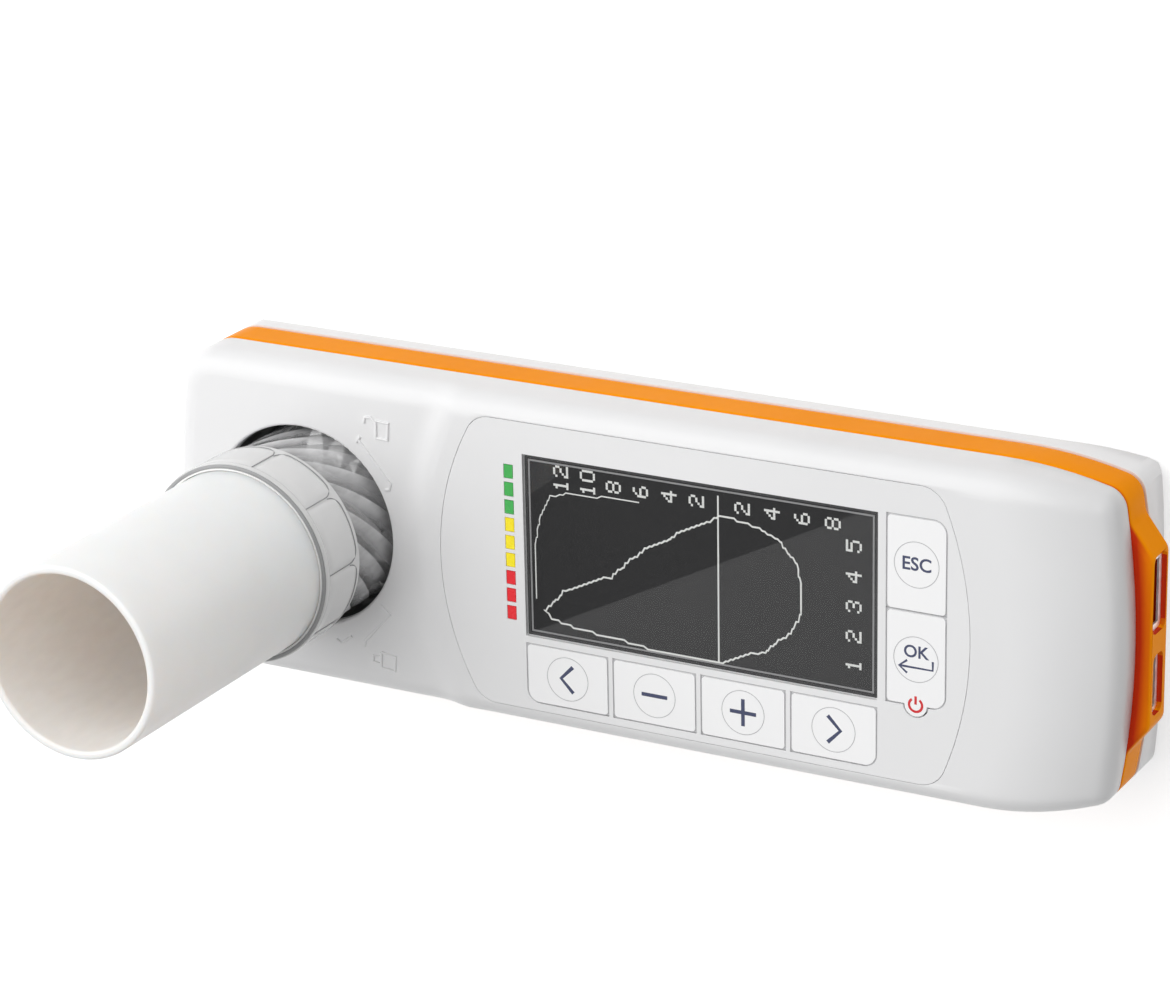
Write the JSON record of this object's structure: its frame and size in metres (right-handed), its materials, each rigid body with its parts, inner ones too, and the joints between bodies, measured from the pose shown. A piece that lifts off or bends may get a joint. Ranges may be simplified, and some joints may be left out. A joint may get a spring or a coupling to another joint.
{
  "type": "handheld spirometer",
  "caption": "Flat handheld breath meter with a display panel and keys, a coloured band, and a clear bayonet turbine that carries a tubular mouthpiece.",
  "frame": {"origin": "middle of the overall box in plan, on the rear face that the part lies on", "axes": "+X from the turbine end to the connector end, +Z out of the display face, +Y towards the display's upper edge"},
  "size_m": [0.163, 0.053, 0.088],
  "materials": {
    "shell_white": "satin moulded white",
    "band_orange": "satin moulded orange",
    "panel_grey": "printed film",
    "window_clear": "clear sheet",
    "display_grey": "dark display glass",
    "key_grey": "soft matt key",
    "scale_green": "tinted light guide",
    "scale_yellow": "tinted light guide",
    "scale_red": "tinted light guide",
    "board_green": "solder mask",
    "steel": "plain bright steel",
    "battery_wrap": "shrink wrap",
    "chip_black": "moulded black",
    "socket_dark": "dark moulded",
    "lamp_dark": "infrared-clear resin",
    "turbine_clear": "clear moulded",
    "cup_brass": "turned",
    "vane_dark": "dull dark",
    "card_white": "coated card"
  },
  "bodies": {
    "case": {"front_shell": "shell_white", "mid_band": "band_orange", "rear_shell": "shell_white", "panel_film": "panel_grey", "display_window": "window_clear", "display_module": "display_grey", "scale_green": "scale_green", "scale_yellow": "scale_yellow", "scale_red": "scale_red", "key_board": "board_green", "snap_domes": "steel", "main_board": "board_green", "case_screws": "steel", "board_screws": "steel", "battery_pack": "battery_wrap", "battery_door": "shell_white", "door_screw": "steel", "charging_port": "steel", "sensor_port": "steel", "main_chip": "chip_black", "radio_module": "steel", "buzzer": "chip_black", "board_link": "chip_black", "socket_sleeve": "socket_dark", "infrared_lamps": "lamp_dark", "infrared_detectors": "lamp_dark", "sensor_board": "board_green"},
    "key_left_body": {"key_left": "key_grey"},
    "key_minus_body": {"key_minus": "key_grey"},
    "key_plus_body": {"key_plus": "key_grey"},
    "key_right_body": {"key_right": "key_grey"},
    "key_escape_body": {"key_escape": "key_grey"},
    "key_confirm_body": {"key_confirm": "key_grey"},
    "turbine": {"turbine_body": "turbine_clear", "front_stator": "turbine_clear", "rear_stator": "turbine_clear", "pivot_cups": "cup_brass"},
    "rotor": {"rotor_shaft": "steel", "rotor_vane": "vane_dark"},
    "mouthpiece_body": {"mouthpiece": "card_white"}
  },
  "joints": [
    {"name": "key_left_press", "type": "slide", "parent": "case", "child": "key_left_body", "axis": [0, 0, -1], "range_m": [0, 0.00035], "stiffness_N_per_m": 600, "springref_m": -0.0005},
    {"name": "key_minus_press", "type": "slide", "parent": "case", "child": "key_minus_body", "axis": [0, 0, -1], "range_m": [0, 0.00035], "stiffness_N_per_m": 600, "springref_m": -0.0005},
    {"name": "key_plus_press", "type": "slide", "parent": "case", "child": "key_plus_body", "axis": [0, 0, -1], "range_m": [0, 0.00035], "stiffness_N_per_m": 600, "springref_m": -0.0005},
    {"name": "key_right_press", "type": "slide", "parent": "case", "child": "key_right_body", "axis": [0, 0, -1], "range_m": [0, 0.00035], "stiffness_N_per_m": 600, "springref_m": -0.0005},
    {"name": "key_escape_press", "type": "slide", "parent": "case", "child": "key_escape_body", "axis": [0, 0, -1], "range_m": [0, 0.00035], "stiffness_N_per_m": 600, "springref_m": -0.0005},
    {"name": "key_confirm_press", "type": "slide", "parent": "case", "child": "key_confirm_body", "axis": [0, 0, -1], "range_m": [0, 0.00035], "stiffness_N_per_m": 600, "springref_m": -0.0005},
    {"name": "turbine_twist", "type": "hinge", "parent": "case", "child": "turbine", "pos_m": [-0.0575, 0, 0.0084], "axis": [0, 0, 1], "range_deg": [0, 40]},
    {"name": "rotor_spin", "type": "hinge", "parent": "turbine", "child": "rotor", "pos_m": [-0.0575, 0, 0.01875], "axis": [0, 0, 1], "continuous": true},
    {"name": "mouthpiece_pull", "type": "slide", "parent": "turbine", "child": "mouthpiece_body", "axis": [0, 0, 1], "range_m": [0, 0.015]}
  ]
}
